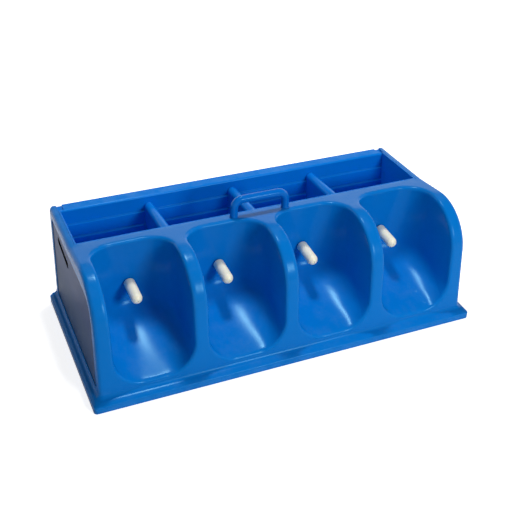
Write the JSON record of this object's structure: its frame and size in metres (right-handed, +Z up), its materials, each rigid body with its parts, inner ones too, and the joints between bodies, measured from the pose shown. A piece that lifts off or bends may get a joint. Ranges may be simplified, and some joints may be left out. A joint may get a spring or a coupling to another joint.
{
  "type": "milk feeder",
  "caption": "Milk feeder for young animals: moulded housing with head scoops, a soft teat in each, a divided milk tray behind and a bow handle.",
  "frame": {"origin": "on the floor, in the middle of the foot flange's outline", "axes": "+Z up, -Y the side with the scoops and teats, X along the length, +X to the right seen from the scoops' side"},
  "size_m": [0.5598, 0.2598, 0.1937],
  "materials": {
    "housing": "glossy moulded",
    "tray": "glossy moulded",
    "panel": "glossy, with fine upright streaks",
    "handle": "high gloss",
    "base": "matt moulded",
    "teat": "soft matt",
    "valve": "satin",
    "seal": "matt",
    "ball": "smooth",
    "steel": "plain stainless"
  },
  "bodies": {
    "feeder": {"housing_shell": "housing", "milk_tray": "tray", "base_plate": "base", "end_panel_left": "panel", "end_panel_right": "panel", "carry_handle": "handle", "handle_washer_left": "steel", "handle_nut_left": "steel", "handle_washer_right": "steel", "handle_nut_right": "steel", "base_screw_1": "steel", "base_screw_2": "steel", "base_screw_3": "steel", "base_screw_4": "steel", "base_screw_5": "steel", "base_screw_6": "steel", "base_screw_7": "steel", "base_screw_8": "steel", "valve_body_1": "valve", "valve_seal_1": "seal", "valve_seat_1": "valve", "valve_body_2": "valve", "valve_seal_2": "seal", "valve_seat_2": "valve", "valve_body_3": "valve", "valve_seal_3": "seal", "valve_seat_3": "valve", "valve_body_4": "valve", "valve_seal_4": "seal", "valve_seat_4": "valve"},
    "soft_teat_1": {"teat_1": "teat"},
    "loose_ball_1": {"check_ball_1": "ball"},
    "soft_teat_2": {"teat_2": "teat"},
    "loose_ball_2": {"check_ball_2": "ball"},
    "soft_teat_3": {"teat_3": "teat"},
    "loose_ball_3": {"check_ball_3": "ball"},
    "soft_teat_4": {"teat_4": "teat"},
    "loose_ball_4": {"check_ball_4": "ball"}
  },
  "joints": [
    {"name": "teat_1_bend", "type": "hinge", "parent": "feeder", "child": "soft_teat_1", "pos_m": [-0.1923, -0.00497, 0.0975], "axis": [1, 0, 0], "range_deg": [-10, 10], "stiffness_Nm_per_rad": 0.18},
    {"name": "teat_2_bend", "type": "hinge", "parent": "feeder", "child": "soft_teat_2", "pos_m": [-0.0641, -0.00497, 0.0975], "axis": [1, 0, 0], "range_deg": [-10, 10], "stiffness_Nm_per_rad": 0.18},
    {"name": "teat_3_bend", "type": "hinge", "parent": "feeder", "child": "soft_teat_3", "pos_m": [0.0641, -0.00497, 0.0975], "axis": [1, 0, 0], "range_deg": [-10, 10], "stiffness_Nm_per_rad": 0.18},
    {"name": "teat_4_bend", "type": "hinge", "parent": "feeder", "child": "soft_teat_4", "pos_m": [0.1923, -0.00497, 0.0975], "axis": [1, 0, 0], "range_deg": [-10, 10], "stiffness_Nm_per_rad": 0.18},
    {"name": "ball_1_lift", "type": "slide", "parent": "feeder", "child": "loose_ball_1", "axis": [0, -1, 0], "range_m": [0, 0.0018]},
    {"name": "ball_2_lift", "type": "slide", "parent": "feeder", "child": "loose_ball_2", "axis": [0, -1, 0], "range_m": [0, 0.0018]},
    {"name": "ball_3_lift", "type": "slide", "parent": "feeder", "child": "loose_ball_3", "axis": [0, -1, 0], "range_m": [0, 0.0018]},
    {"name": "ball_4_lift", "type": "slide", "parent": "feeder", "child": "loose_ball_4", "axis": [0, -1, 0], "range_m": [0, 0.0018]}
  ]
}
